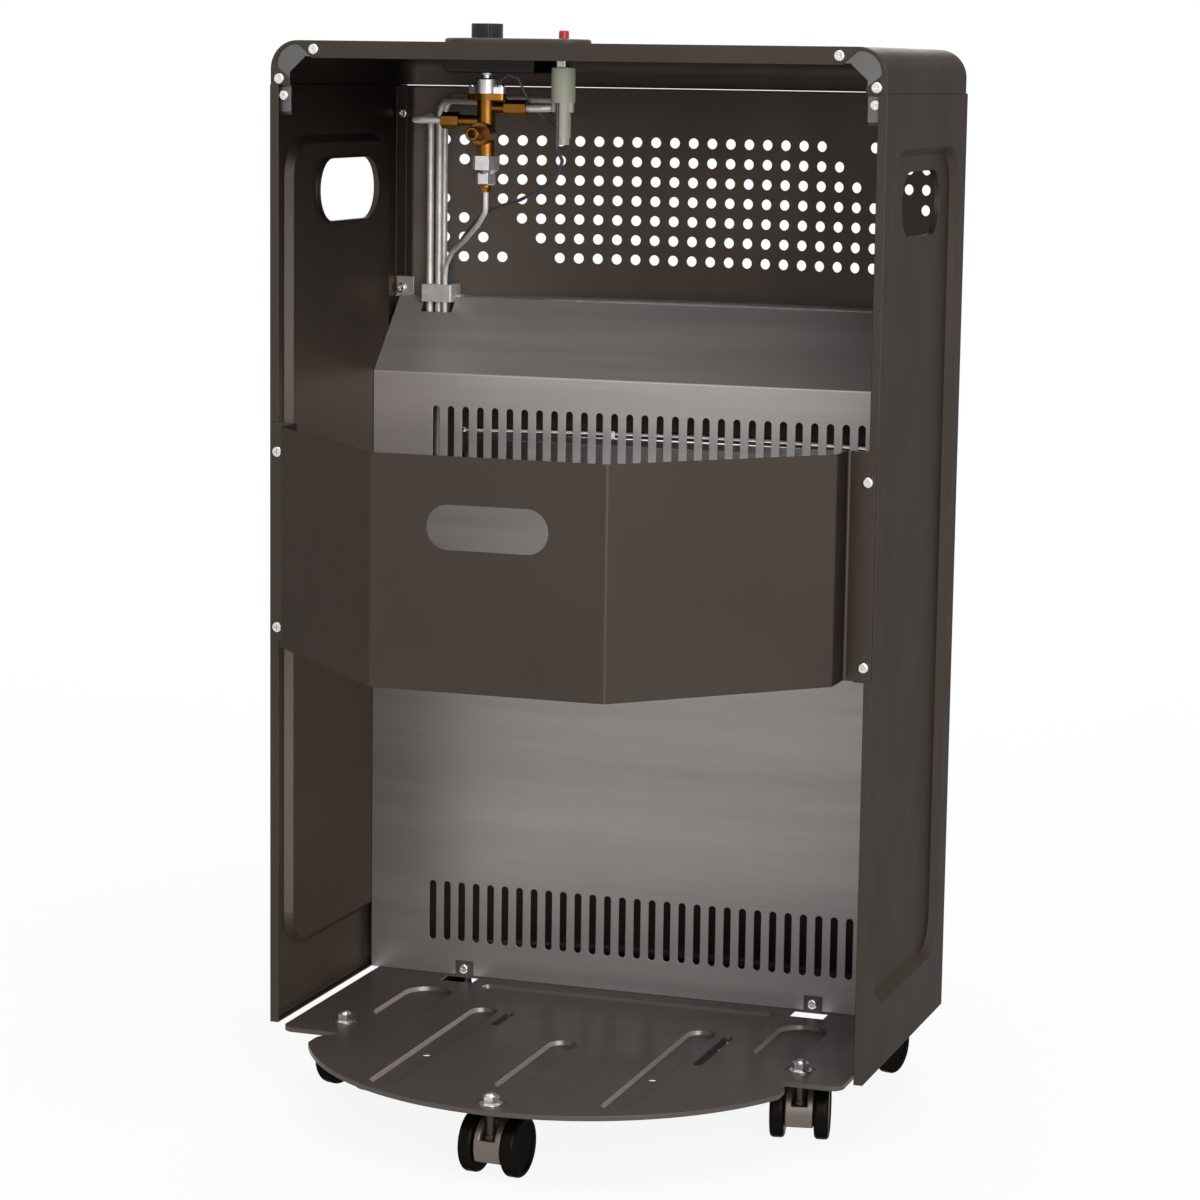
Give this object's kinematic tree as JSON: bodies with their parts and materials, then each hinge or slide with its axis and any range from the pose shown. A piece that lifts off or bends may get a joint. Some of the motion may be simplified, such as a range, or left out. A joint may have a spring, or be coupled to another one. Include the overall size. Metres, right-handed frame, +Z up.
{
  "type": "gas cabinet heater",
  "caption": "Portable gas cabinet heater on swivelling twin-wheel casters: sheet cabinet, open rear bottle bay with guard, gas valve under the top and radiant burner behind a bowed front.",
  "frame": {"origin": "on the floor, under the middle of the bounding box", "axes": "+Z up, -Y towards the bowed front, +Y towards the open rear, +X to the right as seen from the front"},
  "size_m": [0.42, 0.412, 0.7287],
  "materials": {
    "cabinet_paint": "satin",
    "galvanised": "satin",
    "zinc_steel": "satin",
    "brass": "satin",
    "plated_fitting": "satin",
    "pipe": "satin",
    "dark_steel": "satin",
    "polished_steel": "polished",
    "chrome_wire": "polished",
    "ceramic": "matte",
    "black_plastic": "matte",
    "grey_green_plastic": "matte",
    "red_plastic": "gloss",
    "caster_plastic": "matte",
    "tread": "matte",
    "wire_sleeve": "matte"
  },
  "bodies": {
    "cabinet": {"base_plate": "cabinet_paint", "bonnet_screws": "zinc_steel", "bottle_guard": "cabinet_paint", "burner_box": "galvanised", "burner_injectors": "brass", "caster_nuts": "zinc_steel", "caster_stems": "zinc_steel", "ceramic_plaque_left": "ceramic", "ceramic_plaque_middle": "ceramic", "ceramic_plaque_right": "ceramic", "control_plate": "black_plastic", "corner_bracket_left": "galvanised", "corner_bracket_right": "galvanised", "cover_screws": "zinc_steel", "earth_lead": "wire_sleeve", "feed_tube_left": "pipe", "feed_tube_middle": "pipe", "feed_tube_right": "pipe", "frame_screws": "zinc_steel", "front_panel": "cabinet_paint", "guard_grille": "chrome_wire", "guard_screws": "zinc_steel", "ignition_wire": "wire_sleeve", "outlet_fitting": "plated_fitting", "partition": "galvanised", "piezo_body": "grey_green_plastic", "piezo_nut": "zinc_steel", "pilot_burner": "brass", "pilot_nut": "brass", "pilot_tube": "pipe", "reflector": "polished_steel", "side_panel_left": "cabinet_paint", "side_panel_right": "cabinet_paint", "spark_electrode": "ceramic", "terminal_box": "grey_green_plastic", "thermocouple": "pipe", "top_cover": "cabinet_paint", "union_nuts": "brass", "valve_body": "brass", "valve_bonnet": "plated_fitting", "valve_bracket": "dark_steel"},
    "caster_rear_right": {"caster_rear_right_housing": "caster_plastic"},
    "caster_rear_right_wheel_a": {"caster_rear_right_wheel_a": "tread"},
    "caster_rear_right_wheel_b": {"caster_rear_right_wheel_b": "tread"},
    "caster_rear_left": {"caster_rear_left_housing": "caster_plastic"},
    "caster_rear_left_wheel_a": {"caster_rear_left_wheel_a": "tread"},
    "caster_rear_left_wheel_b": {"caster_rear_left_wheel_b": "tread"},
    "caster_tail": {"caster_tail_housing": "caster_plastic"},
    "caster_tail_wheel_a": {"caster_tail_wheel_a": "tread"},
    "caster_tail_wheel_b": {"caster_tail_wheel_b": "tread"},
    "caster_front_right": {"caster_front_right_housing": "caster_plastic"},
    "caster_front_right_wheel_a": {"caster_front_right_wheel_a": "tread"},
    "caster_front_right_wheel_b": {"caster_front_right_wheel_b": "tread"},
    "caster_front_left": {"caster_front_left_housing": "caster_plastic"},
    "caster_front_left_wheel_a": {"caster_front_left_wheel_a": "tread"},
    "caster_front_left_wheel_b": {"caster_front_left_wheel_b": "tread"},
    "knob_slider": {"spindle_collar": "zinc_steel"},
    "control_knob": {"knob": "black_plastic", "valve_spindle": "plated_fitting"},
    "ignition_button": {"piezo_button": "red_plastic"}
  },
  "joints": [
    {"name": "caster_rear_right_swivel", "type": "hinge", "parent": "cabinet", "child": "caster_rear_right", "pos_m": [0.1627, 0.043, 0.02], "axis": [0, 0, 1], "continuous": true},
    {"name": "caster_rear_right_wheel_a_roll", "type": "hinge", "parent": "caster_rear_right", "child": "caster_rear_right_wheel_a", "pos_m": [0.15996, 0.03338, 0.02], "axis": [0.9617, -0.274, 0], "continuous": true},
    {"name": "caster_rear_right_wheel_b_roll", "type": "hinge", "parent": "caster_rear_right", "child": "caster_rear_right_wheel_b", "pos_m": [0.15996, 0.03338, 0.02], "axis": [0.9617, -0.274, 0], "continuous": true},
    {"name": "caster_rear_left_swivel", "type": "hinge", "parent": "cabinet", "child": "caster_rear_left", "pos_m": [-0.1627, 0.043, 0.02], "axis": [0, 0, 1], "continuous": true},
    {"name": "caster_rear_left_wheel_a_roll", "type": "hinge", "parent": "caster_rear_left", "child": "caster_rear_left_wheel_a", "pos_m": [-0.16069, 0.0332, 0.02], "axis": [0.9796, 0.2011, 0], "continuous": true},
    {"name": "caster_rear_left_wheel_b_roll", "type": "hinge", "parent": "caster_rear_left", "child": "caster_rear_left_wheel_b", "pos_m": [-0.16069, 0.0332, 0.02], "axis": [0.9796, 0.2011, 0], "continuous": true},
    {"name": "caster_tail_swivel", "type": "hinge", "parent": "cabinet", "child": "caster_tail", "pos_m": [0, 0.189, 0.02], "axis": [0, 0, 1], "continuous": true},
    {"name": "caster_tail_wheel_a_roll", "type": "hinge", "parent": "caster_tail", "child": "caster_tail_wheel_a", "pos_m": [-0.00063, 0.17902, 0.02], "axis": [0.998, -0.0628, 0], "continuous": true},
    {"name": "caster_tail_wheel_b_roll", "type": "hinge", "parent": "caster_tail", "child": "caster_tail_wheel_b", "pos_m": [-0.00063, 0.17902, 0.02], "axis": [0.998, -0.0628, 0], "continuous": true},
    {"name": "caster_front_right_swivel", "type": "hinge", "parent": "cabinet", "child": "caster_front_right", "pos_m": [0.1627, -0.132, 0.02], "axis": [0, 0, 1], "continuous": true},
    {"name": "caster_front_right_wheel_a_roll", "type": "hinge", "parent": "caster_front_right", "child": "caster_front_right_wheel_a", "pos_m": [0.16426, -0.14188, 0.02], "axis": [0.9877, 0.1564, 0], "continuous": true},
    {"name": "caster_front_right_wheel_b_roll", "type": "hinge", "parent": "caster_front_right", "child": "caster_front_right_wheel_b", "pos_m": [0.16426, -0.14188, 0.02], "axis": [0.9877, 0.1564, 0], "continuous": true},
    {"name": "caster_front_left_swivel", "type": "hinge", "parent": "cabinet", "child": "caster_front_left", "pos_m": [-0.1627, -0.132, 0.02], "axis": [0, 0, 1], "continuous": true},
    {"name": "caster_front_left_wheel_a_roll", "type": "hinge", "parent": "caster_front_left", "child": "caster_front_left_wheel_a", "pos_m": [-0.16478, -0.14178, 0.02], "axis": [0.9781, -0.2079, 0], "continuous": true},
    {"name": "caster_front_left_wheel_b_roll", "type": "hinge", "parent": "caster_front_left", "child": "caster_front_left_wheel_b", "pos_m": [-0.16478, -0.14178, 0.02], "axis": [0.9781, -0.2079, 0], "continuous": true},
    {"name": "knob_push", "type": "slide", "parent": "cabinet", "child": "knob_slider", "axis": [0, 0, -1], "range_m": [0, 0.004], "stiffness_N_per_m": 600, "springref_m": -0.003},
    {"name": "knob_turn", "type": "hinge", "parent": "knob_slider", "child": "control_knob", "pos_m": [0.1025, -0.057, 0.7285], "axis": [0, 0, 1], "range_deg": [0, 200]},
    {"name": "igniter_push", "type": "slide", "parent": "cabinet", "child": "ignition_button", "axis": [0, 0, -1], "range_m": [0, 0.004], "stiffness_N_per_m": 800, "springref_m": -0.003}
  ]
}
